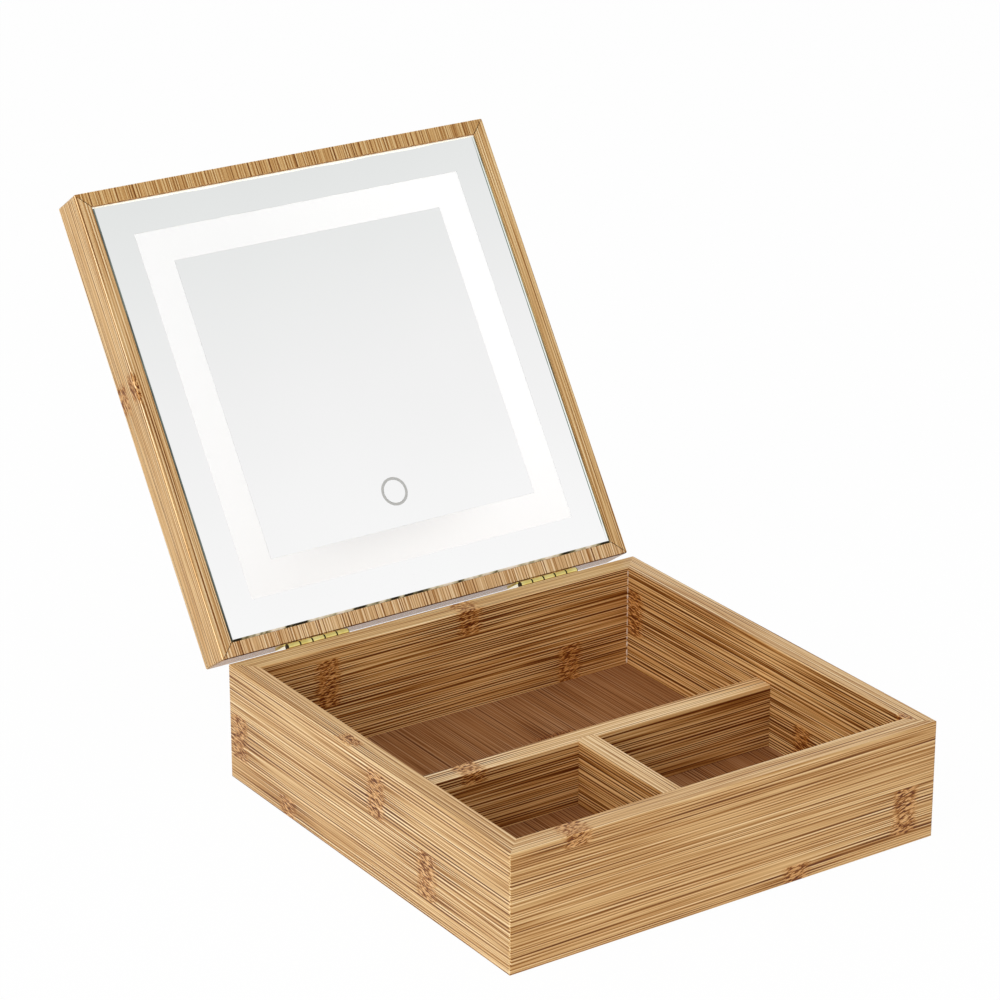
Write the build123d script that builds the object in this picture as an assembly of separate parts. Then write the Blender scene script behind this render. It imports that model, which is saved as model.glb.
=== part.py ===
from build123d import *
import math
import os

# Bamboo vanity box with a lit mirror in its hinged lid. Millimetres.
# X is the width, Y runs from the front to the hinges, Z is up. The origin is the middle of the underside.
# Lid pieces are drawn on the closed box and then turned about the hinge pins to the open rest position.

# Box
box_width = 200.0
box_depth = 200.0
box_height = 49.5
wall = 9.5
floor_thickness = 5.0
floor_tongue = 4.5  # how far the bottom board reaches under each wall
divider = 9.3  # thickness of both divider boards
divider_height = 27.5  # above the floor
dado = 2.5  # depth of the slots that hold the ends of the dividers
long_divider_y = -3.5
short_divider_x = 0.0
edge_round = 0.5
corner_round = 1.0

# Lid frame
lid_thickness = 17.0
lid_gap = 0.8  # between the rim and the closed lid
strip_face = 6.1  # width of bamboo seen round the glass
ledge = 4.4  # how far the ledge behind the glass reaches inwards
panel_lip = 5.5  # width of the frame seen round the outer panel
panel_thickness = 4.5
open_mitre = 0.25  # the corner joints of the lid frame stand slightly open

# Mirror glass
glass_thickness = 3.0
glass_recess = 0.2
glass_clearance = 0.3
glass_arris = 0.7
tape_thickness = 1.0
tape_margin = 0.4
etch_depth = 0.1
band_inset = 21.0  # from the lid's edge to the frosted band
band_width = 14.0
touch_from_rear = 50.0
touch_ring_radius = 6.15
touch_ring_line = 1.2

# Lighting behind the glass
diffuser_thickness = 2.0
diffuser_lap = 2.5  # overlap of the diffuser behind each side of the band
diffuser_gap = 0.3
tray_clearance = 0.2
tray_wall = 1.5
tray_seat = 1.5
tray_floor = 1.2
tray_top_gap = 0.5  # from the walls of the tray to the glass
led_board_width = 8.0
led_board_thickness = 0.8
led_chip_size = (3.5, 2.8, 0.8)
led_chips_per_side = 8
led_end_gap = 6.0
tray_screw_inset = 4.0  # from the walls of the middle bay

# Electronics in the middle bay of the tray
battery_size = (56.0, 36.0, 4.0)
battery_margin = 9.0  # from the walls of the bay
battery_round = 1.5
battery_tape = 0.5
battery_tape_margin = 3.0  # from the tape to the sides of the battery
circuit_board = 1.2  # thickness of the control and touch boards
touch_board_side = 16.0
touch_board_round = 3.0
control_size = (44.0, 24.0)
control_x = 24.0
control_gap = 10.0  # from the touch board to the control board
board_screw_inset = 2.6
post_side = 3.2  # square posts of the tray under the control board
charger_chip = (5.0, 5.0, 1.0)
charger_place = (-9.0, 3.0)
driver_chip = (6.0, 5.0, 1.3)
driver_place = (9.0, 4.0)
controller_chip = (4.0, 4.0, 0.9)
controller_place = (2.0, -4.0)
battery_plug = (6.0, 4.5, 2.2)
battery_plug_place = (-9.0, -6.5)
lamp_plug = (4.5, 6.0, 2.2)
lamp_plug_place = (17.0, -1.0)
coil_radius = 2.5
coil_height = 1.8
coil_place = (-1.5, 5.5)

# Flat two-core leads between the boards
lead_width = 2.0
lead_thickness = 0.8
lead_bend = 3.0
lead_lap = 3.0  # how far a lead reaches over or under a board
lead_clearance = 0.3
jumper_width = 3.0
jumper_thickness = 0.4

# Charging socket in the right edge of the lid
usb_from_rear = 55.0
usb_board_size = (12.5, 20.0, 1.0)
usb_shell_size = (7.3, 8.9, 3.2)
usb_shell_wall = 0.3
usb_tongue_size = (4.6, 6.6, 0.7)
usb_mouth_depth = 1.6  # from the lid's edge to the mouth of the socket
usb_hole_clearance = 0.2
usb_pocket_wall = 3.5  # bamboo left outside the pocket for the board
usb_level = 6.2  # middle of the socket behind the lid's glass side

# Hinges
open_angle = 123.9
hinge_from_side = 43.0  # from the end of the box to the middle of each hinge
hinge_length = 29.0
knuckles = 5
knuckle_gap = 0.2
barrel_radius = 1.5
barrel_clearance = 0.3
leaf_thickness = 0.8
leaf_height = 11.0
leaf_corner = 1.2
leaf_relief = 0.6  # from the barrel to the edge of the opposite leaf
pin_drop = 0.6  # pin axis below the rim
pin_clearance = 0.05
stop_length = 4.8
stop_clearance = 0.05

# Wood screws of the hinges, and the small screws of the tray and the board
hinge_screw_spread = 17.0
hinge_screw_head = 1.9
hinge_screw_shank = 1.0
hinge_screw_length = 6.0
recess_width = 0.5
recess_length = 1.3
shank_sides = 6
small_head_sides = 8
tray_screw_head = (2.3, 1.1)  # radius and height
tray_screw_shank = (1.1, 3.6)  # radius and length
board_screw_head = (1.3, 0.7)
board_screw_shank = (0.6, 2.4)

# Places that follow from the sizes above
pin_offset = barrel_radius + barrel_clearance
pin_y = box_depth / 2 + pin_offset
pin_z = box_height - pin_drop
bore_radius = barrel_radius - leaf_thickness
lid_z = box_height + lid_gap
glass_back = glass_recess + glass_thickness
ledge_level = glass_back + tape_thickness
panel_level = lid_thickness - panel_thickness
tray_level = panel_level - tray_floor
diffuser_level = glass_back + diffuser_gap
seat_level = diffuser_level + diffuser_thickness
ledge_inset = strip_face + ledge
band_end = band_inset + band_width
tray_outer = band_inset - diffuser_lap - tray_clearance - tray_wall
tray_inner = band_end + diffuser_lap + tray_clearance + tray_wall
led_inset = band_inset + band_width / 2
touch_y = box_depth / 2 - touch_from_rear
usb_y = box_depth / 2 - usb_from_rear
bay_x = box_width / 2 - tray_inner
bay_y = box_depth / 2 - tray_inner
post_height = led_board_thickness + lead_thickness
board_level = tray_level - post_height - circuit_board
usb_board_level = usb_level + usb_shell_size[2] / 2
control_y = touch_y - touch_board_side / 2 - control_gap - control_size[1] / 2
control_place = (control_x, control_y)
battery_x = battery_margin + battery_size[0] / 2 - bay_x
battery_y = battery_margin + battery_size[1] / 2 - bay_y
lamp_lead_y = control_y - control_size[1] / 4
charging_level = usb_board_level + usb_board_size[2] / 2
hinge_x = box_width / 2 - hinge_from_side
MIN = (Align.MIN, Align.MIN)
LEFT_RIGHT = {"left": -1, "right": 1}


def closed_lid(level):
    """Place on the closed lid, at a distance behind its glass side."""
    return Pos(0, 0, lid_z + level)


def opened(shape):
    """Turns a piece of the closed lid to the open rest position."""
    return shape.rotate(Axis((0, pin_y, pin_z), (1, 0, 0)), -open_angle)


def inset_plan(inset):
    return Rectangle(box_width - 2 * inset, box_depth - 2 * inset)


def lid_slab(inset, low, high):
    return closed_lid(low) * extrude(inset_plan(inset), high - low)


def lid_ring(outer_inset, inner_inset, low, high):
    return lid_slab(outer_inset, low, high) - lid_slab(inner_inset, low, high)


def lid_block(size, place, low):
    """Block that stands on a level of the closed lid, its plan centred on a place."""
    plan = Pos(*place) * Rectangle(size[0], size[1])
    return closed_lid(low) * extrude(plan, size[2])


def side_planes(z):
    """One plane per side of the box: x points inwards, y up, and the normal runs along the side."""
    x, y = box_width / 2, box_depth / 2
    return {
        "front": (Plane((-x, -y, z), x_dir=(0, 1, 0), z_dir=(1, 0, 0)), box_width),
        "right": (Plane((x, -y, z), x_dir=(-1, 0, 0), z_dir=(0, 1, 0)), box_depth),
        "back": (Plane((x, y, z), x_dir=(0, -1, 0), z_dir=(-1, 0, 0)), box_width),
        "left": (Plane((-x, y, z), x_dir=(1, 0, 0), z_dir=(0, -1, 0)), box_depth),
    }


def mitred_boards(section, z, gap=0.0):
    """Four boards of one section round the box, mitred at the corners, with eased upright edges."""
    reach = section.bounding_box().max.X
    height = section.bounding_box().max.Y
    trim = gap / math.sqrt(2)
    outline = Pos(0, 0, z) * extrude(RectangleRounded(box_width, box_depth, corner_round), height)
    boards = {}
    for name, (plane, length) in side_planes(z).items():
        bar = extrude(plane * section, length)
        plan = Plane(plane.origin, x_dir=plane.x_dir, z_dir=-plane.y_dir)
        corners = [(0, trim), (0, length - trim), (reach, length - reach - trim), (reach, reach + trim)]
        wedge = extrude(plan * make_face(Polyline(*corners, close=True)), -height)
        boards[name] = bar & wedge & outline
    return boards


def eased_board(length, thickness, height):
    """Board on edge along X whose two upper edges are eased."""
    section = Rectangle(thickness, height, align=(Align.CENTER, Align.MIN))
    section = fillet(section.vertices().group_by(Axis.Y)[-1], edge_round)
    return extrude(Plane.YZ.offset(-length / 2) * section, length)


def wall_section():
    section = Rectangle(wall, box_height, align=MIN)
    section -= Pos(wall - floor_tongue, 0) * Rectangle(floor_tongue, floor_thickness, align=MIN)
    rim = section.vertices().group_by(Axis.Y)[-1]
    foot = section.vertices().group_by(Axis.Y)[0].sort_by(Axis.X)[0]
    return fillet([*rim, foot], edge_round)


def strip_section():
    """Lid frame: a rebate for the glass on one side, one for the outer panel on the other."""
    section = Rectangle(ledge_inset, lid_thickness, align=MIN)
    section -= Pos(strip_face, 0) * Rectangle(ledge, ledge_level, align=MIN)
    section -= Pos(panel_lip, panel_level) * Rectangle(ledge_inset, panel_thickness, align=MIN)
    outer = section.vertices().group_by(Axis.X)[0]
    return fillet(outer, edge_round)


def base_boards():
    boards = mitred_boards(wall_section(), 0)
    inside_width = box_width - 2 * wall
    long_board = eased_board(inside_width + 2 * dado, divider, divider_height)
    long_board = Pos(0, long_divider_y, floor_thickness) * long_board
    front_end = -box_depth / 2 + wall - dado
    back_end = long_divider_y - divider / 2 + dado
    short_board = Rot(0, 0, 90) * eased_board(back_end - front_end, divider, divider_height)
    short_board = Pos(short_divider_x, (front_end + back_end) / 2, floor_thickness) * short_board
    inset = wall - floor_tongue
    return {
        "front_wall": boards["front"] - short_board,
        "back_wall": boards["back"],
        "left_wall": boards["left"] - long_board,
        "right_wall": boards["right"] - long_board,
        "bottom_board": extrude(inset_plan(inset), floor_thickness),
        "long_divider": long_board - short_board,
        "short_divider": short_board,
    }


def mirror_glass():
    """Glass with polished edges. The lit band and the touch ring are etched into its face."""
    inset = strip_face + glass_clearance
    glass = lid_slab(inset, glass_recess, glass_back)
    face = glass.faces().sort_by(Axis.Z)[0]
    glass = chamfer(face.edges(), glass_arris)
    band = lid_ring(band_inset, band_end, glass_recess, glass_recess + etch_depth)
    ring = Circle(touch_ring_radius) - Circle(touch_ring_radius - touch_ring_line)
    ring = closed_lid(glass_recess) * extrude(Pos(0, touch_y) * ring, etch_depth)
    return glass - band - ring


def glass_tape():
    """Four strips of foam tape between the ledge of the frame and the back of the glass."""
    width = ledge - 2 * tape_margin
    inset = strip_face + tape_margin + width / 2
    x, y = box_width / 2 - inset, box_depth / 2 - inset
    across = (2 * x + width, width, tape_thickness)
    along = (width, 2 * y - width, tape_thickness)
    strips = [lid_block(across, (0, side * y), glass_back) for side in (-1, 1)]
    strips += [lid_block(along, (side * x, 0), glass_back) for side in (-1, 1)]
    return Compound(strips)


def light_tray():
    """Moulded reflector: a channel under the band, whose walls are stepped to seat the diffuser."""
    top = glass_back + tray_top_gap
    floor = lid_slab(tray_outer, tray_level, panel_level)
    outer_wall = lid_ring(tray_outer, tray_outer + tray_wall, top, tray_level)
    outer_seat = lid_ring(tray_outer, tray_outer + tray_wall + tray_seat, seat_level, tray_level)
    inner_wall = lid_ring(tray_inner - tray_wall, tray_inner, top, tray_level)
    inner_seat = lid_ring(tray_inner - tray_wall - tray_seat, tray_inner, seat_level, tray_level)
    post = (post_side, post_side, post_height)
    posts = [lid_block(post, place, tray_level - post_height) for place in board_screw_places()]
    return floor + outer_wall + outer_seat + inner_wall + inner_seat + posts


def led_runs():
    """Middle, length and direction of the four lamp boards, in the middle of the channel."""
    x, y = box_width / 2 - led_inset, box_depth / 2 - led_inset
    return [
        ((0, -y), 2 * (x - led_end_gap), 0),
        ((x, 0), 2 * (y - led_end_gap), 90),
        ((0, y), 2 * (x - led_end_gap), 0),
        ((-x, 0), 2 * (y - led_end_gap), 90),
    ]


def led_boards():
    boards = []
    for place, length, angle in led_runs():
        plan = Pos(*place) * Rot(0, 0, angle) * Rectangle(length, led_board_width)
        boards.append(closed_lid(tray_level - led_board_thickness) * extrude(plan, led_board_thickness))
    return Compound(boards)


def led_chips():
    long, short, tall = led_chip_size
    level = tray_level - led_board_thickness - tall
    chips = []
    for place, length, angle in led_runs():
        pitch = length / led_chips_per_side
        for plan in GridLocations(pitch, 0, led_chips_per_side, 1):
            chip = extrude(Pos(*place) * Rot(0, 0, angle) * plan * Rectangle(long, short), tall)
            chips.append(closed_lid(level) * chip)
    return Compound(chips)


def battery():
    level = tray_level - battery_tape - battery_size[2]
    cell = lid_block(battery_size, (battery_x, battery_y), level)
    return fillet(cell.edges().filter_by(Axis.X), battery_round)


def battery_pad():
    length, width, _ = battery_size
    size = (length - 2 * battery_tape_margin, width - 2 * battery_tape_margin, battery_tape)
    return lid_block(size, (battery_x, battery_y), tray_level - battery_tape)


def board_screw_places():
    reach_x = control_size[0] / 2 - board_screw_inset
    reach_y = control_size[1] / 2 - board_screw_inset
    return [(control_x + i * reach_x, control_y + j * reach_y) for i in (-1, 1) for j in (-1, 1)]


def control_board():
    return lid_block((*control_size, circuit_board), control_place, board_level)


def control_components():
    """Charger, driver, controller, two plug sockets and a coil on the glass side of the control board."""
    blocks = [
        (charger_chip, charger_place),
        (driver_chip, driver_place),
        (controller_chip, controller_place),
        (battery_plug, battery_plug_place),
        (lamp_plug, lamp_plug_place),
    ]
    parts = []
    for size, (x, y) in blocks:
        parts.append(lid_block(size, (control_x + x, control_y + y), board_level - size[2]))
    coil = Pos(control_x + coil_place[0], control_y + coil_place[1]) * Circle(coil_radius)
    return Compound([*parts, closed_lid(board_level - coil_height) * extrude(coil, coil_height)])


def recess(depth, crossed):
    """Cutter for a driver that starts at its origin and goes up: a slot or a cross."""
    arms = Rectangle(recess_length, recess_width)
    if crossed:
        arms += Rectangle(recess_width, recess_length)
    return extrude(arms, depth)


def small_screws(places, level, head, shank):
    """Small hidden screws that point up, heads below a level of the closed lid: blanks and slots."""
    blank = extrude(RegularPolygon(head[0], small_head_sides), -head[1])
    blank += extrude(RegularPolygon(shank[0], shank_sides), shank[1])
    slot = Pos(0, 0, -head[1]) * recess(head[1] / 2, crossed=False)
    return [(closed_lid(level) * Pos(*p) * blank, closed_lid(level) * Pos(*p) * slot) for p in places]


def touch_board():
    plan = Pos(0, touch_y) * RectangleRounded(touch_board_side, touch_board_side, touch_board_round)
    return closed_lid(glass_back) * extrude(plan, circuit_board)


def usb_board():
    length = usb_board_size[0]
    x = box_width / 2 - usb_pocket_wall - length / 2
    return lid_block(usb_board_size, (x, usb_y), usb_board_level)


def usb_outline(grow):
    """Section of the socket, a flat oval across the edge of the lid, from its mouth plane inwards."""
    _, width, height = usb_shell_size
    mouth = Plane(
        (box_width / 2 - usb_mouth_depth, usb_y, lid_z + usb_level), x_dir=(0, 1, 0), z_dir=(-1, 0, 0)
    )
    return mouth * SlotOverall(width + 2 * grow, height + 2 * grow)


def usb_socket():
    """Pressed steel shell, closed at its inner end, and the contact tongue inside it."""
    length = usb_shell_size[0]
    shell = extrude(usb_outline(0), length) - extrude(usb_outline(-usb_shell_wall), length - usb_shell_wall)
    reach, width, height = usb_tongue_size
    back = box_width / 2 - usb_mouth_depth - length + usb_shell_wall
    tongue = Pos(back + reach / 2, usb_y, lid_z + usb_level) * Box(reach, width, height)
    return shell, tongue


def usb_cutter():
    """Oval hole in the edge of the lid and the pocket for the charging board behind it."""
    hole = extrude(usb_outline(usb_hole_clearance), ledge_inset)
    hole += extrude(usb_outline(usb_hole_clearance), -2 * usb_mouth_depth)
    low = ledge_level - tape_thickness
    high = usb_board_level + usb_board_size[2]
    width = usb_board_size[1] + 2 * usb_hole_clearance
    size = (ledge_inset, width, high - low)
    pocket = lid_block(size, (box_width / 2 - usb_pocket_wall - ledge_inset / 2, usb_y), low)
    return pocket + hole


def flat_lead(points, width_dir):
    """Flat two-core lead through a few points, with rounded bends. Its width lies along one direction."""
    path = FilletPolyline(*points, radius=lead_bend) if len(points) > 2 else Line(*points)
    section = Plane(path @ 0, x_dir=width_dir, z_dir=path % 0) * Rectangle(lead_width, lead_thickness)
    return closed_lid(0) * sweep(section, path=path)


def battery_lead():
    """Stands on edge, from the end of the battery to the front edge of the control board."""
    start = battery_x + battery_size[0] / 2
    y = battery_y + battery_size[1] / 4
    edge = control_y - control_size[1] / 2
    level = board_level + circuit_board / 2
    return flat_lead([(start, y, level), (control_x, y, level), (control_x, edge, level)], (0, 0, 1))


def charging_lead():
    """Stands on edge, from the charging board across the channel to the back edge of the control board."""
    start = box_width / 2 - usb_pocket_wall - usb_board_size[0]
    turn = control_x + control_size[0] / 4
    edge = control_y + control_size[1] / 2
    level = charging_level
    return flat_lead([(start, usb_y, level), (turn, usb_y, level), (turn, edge, level)], (0, 0, 1))


def lamp_lead():
    """Lies flat, from under the control board to the pads of the right lamp board."""
    start = control_x + control_size[0] / 2 - lead_lap
    level = tray_level - led_board_thickness - lead_thickness / 2
    ends = [(x, lamp_lead_y, level) for x in (start, box_width / 2 - led_inset)]
    return flat_lead(ends, (0, 1, 0))


def touch_lead():
    """Lies flat, from the edge of the touch board down to the edge of the control board."""
    start = touch_y - touch_board_side / 2
    edge = start - control_gap
    x = touch_board_side / 2 - touch_board_round - lead_width / 2
    high = glass_back + circuit_board / 2
    low = board_level + circuit_board / 2
    near_glass = [(x, start, high), (x, start - control_gap / 3, high)]
    near_board = [(x, edge + control_gap / 3, low), (x, edge, low)]
    return flat_lead(near_glass + near_board, (1, 0, 0))


def lamp_jumpers():
    """Film strips round three corners of the channel that join each lamp board to the next."""
    x, y = box_width / 2 - led_inset, box_depth / 2 - led_inset
    reach = led_end_gap + lead_lap
    level = tray_level - led_board_thickness - jumper_thickness
    jumpers = []
    for i, j in ((1, -1), (1, 1), (-1, 1)):
        across = Rectangle(reach + jumper_width / 2, jumper_width)
        along = Rectangle(jumper_width, reach + jumper_width / 2)
        corner = (jumper_width / 2 - reach) / 2
        plan = Pos(i * (x + corner), j * y) * across + Pos(i * x, j * (y + corner)) * along
        jumpers.append(closed_lid(level) * extrude(plan, jumper_thickness))
    return Compound(jumpers)


def lead_slots():
    """Slots in the walls of the tray that the lamp lead and the charging lead pass through."""
    inner_wall = (box_width / 2 - tray_inner + tray_wall, tray_wall + tray_seat)
    crossing = tray_inner - tray_outer
    lamp = (inner_wall[1] * 2, lead_width + 2 * lead_clearance, post_height + lead_clearance)
    charging = (crossing, lead_thickness + 2 * lead_clearance, lead_width + 2 * lead_clearance)
    slots = lid_block(lamp, (inner_wall[0], lamp_lead_y), tray_level - lamp[2])
    place = (box_width / 2 - (tray_outer + tray_inner) / 2, usb_y)
    return slots + lid_block(charging, place, charging_level - charging[2] / 2)


def knuckle_section(up):
    """Barrel rolled from the leaf round the pin. The leaf leaves the barrel downwards or upwards."""
    edge = barrel_radius + leaf_relief
    inner = leaf_thickness - pin_offset
    neck = [
        (-pin_offset, up * edge),
        (-pin_offset, up * barrel_radius / 2),
        (-barrel_radius, 0),
        (0, 0),
        (inner, up * barrel_radius),
        (inner, up * edge),
    ]
    return Circle(barrel_radius) + make_face(Polyline(*neck, close=True))


def stop_section():
    """Tab that stands out of the barrel along the open lid leaf, which lands on its upper face."""
    top = pin_offset - leaf_thickness - stop_clearance
    tab = Pos(0, top - leaf_thickness) * Rectangle(stop_length, leaf_thickness, align=MIN)
    return Rot(0, 0, 90 - open_angle) * tab


def hinge_leaf(x, up, own, stop=None):
    """Leaf on the closed box at a place along X, with its own knuckles and at most one stop tab."""
    edge = barrel_radius + leaf_relief
    height = leaf_height - edge
    plate = RectangleRounded(hinge_length, height, leaf_corner)
    square = Pos(0, -up * height / 4) * Rectangle(hinge_length, height / 2)
    face = Plane((0, -pin_offset, up * (edge + height / 2)), x_dir=(-1, 0, 0), z_dir=(0, 1, 0))
    leaf = extrude(face * (plate + square), leaf_thickness)
    pitch = hinge_length / knuckles
    for i in own:
        section = knuckle_section(up) + stop_section() if i == stop else knuckle_section(up)
        low = i * pitch - hinge_length / 2 + knuckle_gap / 2
        section -= Circle(bore_radius)
        leaf += extrude(Plane.YZ.offset(low) * section, pitch - knuckle_gap)
    return Pos(x, pin_y, pin_z) * leaf


def hinge_pin(x):
    pin = Rot(0, 90, 0) * Cylinder(bore_radius - pin_clearance, hinge_length)
    return Pos(x, pin_y, pin_z) * pin


def hinge_screws(x, up):
    """Two countersunk wood screws of one leaf: the blanks that cut their holes, and their crosses."""
    head = Pos(0, 0, -leaf_thickness / 2) * Cone(hinge_screw_shank, hinge_screw_head, leaf_thickness)
    blank = head + extrude(RegularPolygon(hinge_screw_shank, shank_sides), -hinge_screw_length)
    cross = Pos(0, 0, -leaf_thickness / 2) * recess(leaf_thickness, crossed=True)
    z = pin_z + up * (leaf_height + barrel_radius + leaf_relief) / 2
    y = box_depth / 2 + leaf_thickness
    places = [Pos(x + side * hinge_screw_spread / 2, y, z) * Rot(-90, 0, 0) for side in (-1, 1)]
    return [(place * blank, place * cross) for place in places]


def fitted(carriers, pairs):
    """Cuts the holes of some screws in what they hold, and returns the screws as one group."""
    for blank, _ in pairs:
        for name in carriers:
            nodes[name] = nodes[name] - blank
    return Compound([blank - driver_recess for blank, driver_recess in pairs])


# Box body
nodes = base_boards()
box_nodes = list(nodes)

# Lid body, on the closed box
strips = mitred_boards(strip_section(), lid_z, open_mitre)
for side, board in strips.items():
    nodes[f"lid_{side}_strip"] = board
nodes["lid_right_strip"] = nodes["lid_right_strip"] - usb_cutter()
nodes["lid_outer_panel"] = lid_slab(panel_lip, panel_level, lid_thickness)
nodes["mirror_glass"] = mirror_glass()
nodes["glass_tape"] = glass_tape()
nodes["light_diffuser"] = lid_ring(
    band_inset - diffuser_lap, band_end + diffuser_lap, diffuser_level, seat_level
)
nodes["light_tray"] = light_tray() - lead_slots()
nodes["lamp_boards"] = led_boards()
nodes["lamp_chips"] = led_chips()
nodes["battery"] = battery()
nodes["battery_tape"] = battery_pad()
nodes["control_board"] = control_board()
nodes["control_components"] = control_components()
nodes["touch_board"] = touch_board()
nodes["charging_board"] = usb_board()
nodes["charging_socket"], nodes["charging_tongue"] = usb_socket()
nodes["battery_lead"] = battery_lead()
nodes["lamp_lead"] = lamp_lead()
nodes["lamp_jumpers"] = lamp_jumpers()
nodes["charging_lead"] = charging_lead()
nodes["touch_lead"] = touch_lead()
reach_x, reach_y = bay_x - tray_screw_inset, bay_y - tray_screw_inset
tray_screw_places = [(i * reach_x, j * reach_y) for i in (-1, 1) for j in (-1, 1)]
nodes["tray_screws"] = fitted(
    ["light_tray", "lid_outer_panel"],
    small_screws(tray_screw_places, tray_level, tray_screw_head, tray_screw_shank),
)
nodes["board_screws"] = fitted(
    ["control_board", "light_tray"],
    small_screws(board_screw_places(), board_level, board_screw_head, board_screw_shank),
)

# Hinges. The box has the odd knuckles and the stop tab, the lid the even ones.
box_knuckles = range(0, knuckles, 2)
lid_knuckles = range(1, knuckles, 2)
box_screws, lid_screws = [], []
for side, sign in LEFT_RIGHT.items():
    x = sign * hinge_x
    nodes[f"box_hinge_leaf_{side}"] = hinge_leaf(x, -1, box_knuckles, stop=knuckles // 2)
    nodes[f"hinge_pin_{side}"] = hinge_pin(x)
    box_nodes += [f"box_hinge_leaf_{side}", f"hinge_pin_{side}"]
    nodes[f"lid_hinge_leaf_{side}"] = hinge_leaf(x, 1, lid_knuckles)
    box_screws.append(fitted([f"box_hinge_leaf_{side}", "back_wall"], hinge_screws(x, -1)))
    lid_screws.append(fitted([f"lid_hinge_leaf_{side}", "lid_back_strip"], hinge_screws(x, 1)))
nodes["box_hinge_screws"] = Compound([s for group in box_screws for s in group.solids()])
nodes["lid_hinge_screws"] = Compound([s for group in lid_screws for s in group.solids()])
box_nodes.append("box_hinge_screws")

os.makedirs("parts", exist_ok=True)
for name, shape in nodes.items():
    placed = shape if name in box_nodes else opened(shape)
    export_step(placed, f"parts/{name}.step")
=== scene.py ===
import math
import random
from typing import NamedTuple

import bpy
from mathutils import Matrix, Vector


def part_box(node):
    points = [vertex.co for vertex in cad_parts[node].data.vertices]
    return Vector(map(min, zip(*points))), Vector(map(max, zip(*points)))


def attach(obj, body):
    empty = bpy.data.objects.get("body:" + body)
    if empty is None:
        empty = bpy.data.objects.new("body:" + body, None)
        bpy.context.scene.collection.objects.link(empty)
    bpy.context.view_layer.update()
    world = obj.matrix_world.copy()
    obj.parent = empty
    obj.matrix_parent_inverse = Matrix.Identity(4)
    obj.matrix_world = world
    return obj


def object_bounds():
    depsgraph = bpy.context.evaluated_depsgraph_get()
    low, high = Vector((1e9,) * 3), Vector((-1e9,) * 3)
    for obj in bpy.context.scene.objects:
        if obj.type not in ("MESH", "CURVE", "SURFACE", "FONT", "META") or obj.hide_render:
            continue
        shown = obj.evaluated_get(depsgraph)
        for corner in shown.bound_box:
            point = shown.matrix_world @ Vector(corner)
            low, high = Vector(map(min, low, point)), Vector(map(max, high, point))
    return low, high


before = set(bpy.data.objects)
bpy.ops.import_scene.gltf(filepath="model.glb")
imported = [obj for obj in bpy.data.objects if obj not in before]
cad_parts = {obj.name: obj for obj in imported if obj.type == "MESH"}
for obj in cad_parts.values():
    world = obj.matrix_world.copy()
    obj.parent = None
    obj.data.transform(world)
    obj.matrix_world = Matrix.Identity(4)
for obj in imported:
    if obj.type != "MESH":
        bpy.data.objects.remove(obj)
cad_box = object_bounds()

# Camera, fitted to corners of the box and the lid
AZIMUTH, ELEVATION = -34.134, 21.855
DISTANCE = 1.475
AIM = Vector((0.0, 0.0, 0.05))
SLIDE_RIGHT, SLIDE_UP = -0.0302, 0.0751
SENSOR = 36.0
FOCAL_PIXELS = 3753.4
PICTURE_PIXELS = 1000.0
CLIP_NEAR, CLIP_FAR = 0.05, 50.0

# Light
AMBIENT = 0.52
FLOOR_GLOW = 0.975
WHITE = (1.0, 1.0, 1.0, 1.0)
CEILING_TURN = 0.36
CEILING = (
    (0.745, (1.0, 1.0, 1.0, 1.0)),
    (0.790, (0.940, 0.940, 0.940, 1.0)),
    (0.827, (0.832, 0.848, 0.841, 1.0)),
    (0.860, (0.760, 0.778, 0.772, 1.0)),
)
FLOOR_HALF = 6.0
FLOOR_DROP = 0.0002  # how far the floor lies below the box, so that the two don't flicker
LAMPS = (  # name, place, size and power
    ("key_lamp", (-1.5, -0.5, 1.1), 1.4, 17.0),
    ("front_lamp", (-0.4, -2.0, 0.8), 1.4, 4.8),
    ("top_lamp", (0.2, 0.1, 2.2), 1.8, 9.0),
)

# Bamboo strips that the boards are glued from, in mm
STRIP_WIDTH, STRIP_THICKNESS = 19.0, 4.75

# Bamboo, from its darkest fibres to its lightest, as 8-bit sRGB
BAMBOO_COLOURS = (
    (0.00, (100, 50, 14)),
    (0.25, (165, 112, 51)),
    (0.50, (213, 171, 116)),
    (0.75, (238, 204, 152)),
    (1.00, (254, 232, 190)),
)
KNOT_TINT = (248, 232, 216)
BASE_SHADE = 0.045
MIDDLE_LEVEL = 0.53  # place of shade 0 among the colours
FIBRE_RELIEF = 0.00003

# Cosines between which a surface begins to face a direction and fully faces it
FACING = (0.8, 0.95)

# Rounding of the box's upright corners, in metres
CORNER_ROUND = 0.001

# Dried glue: drops of these lengths in mm and widths, and the step from one to the next in lengths
GLUE_RINGS = 6
GLUE_LENGTHS = (1.6, 3.6)
GLUE_WIDTHS = (0.7, 1.1)
GLUE_SPACING = 1.22

# Hinges: knuckles in a barrel, and half the width of the dark line of painted shade where two meet
KNUCKLES = 5
JOINT_LINE = 0.0003

# Glass, in mm: depths that count as the mirror's face and as an etched recess, the largest |x| of
# the touch ring, the levels of the inlays in the recess, and their gap to its sides
FACE_DEPTH, ETCHED_DEPTH = 0.05, 0.15
RING_REACH = 20
INLAY_TOP, INLAY_BOTTOM = 0.02, 0.09
INLAY_GAP = 0.03
RING_SIDES = 96
FROST_RELIEF = 0.00002
# Glow of the lit band, and of the glass's ground edges, where it is painted light
GLASS_GLOW = 0.25

MM = 0.001
X, Y, Z = Vector((1, 0, 0)), Vector((0, 1, 0)), Vector((0, 0, 1))


def srgb(red, green, blue):
    """Linear colour of an 8-bit sRGB one."""
    parts = [c / 255 for c in (red, green, blue)]
    linear = [c / 12.92 if c <= 0.04045 else ((c + 0.055) / 1.055) ** 2.4 for c in parts]
    return (*linear, 1.0)


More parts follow.
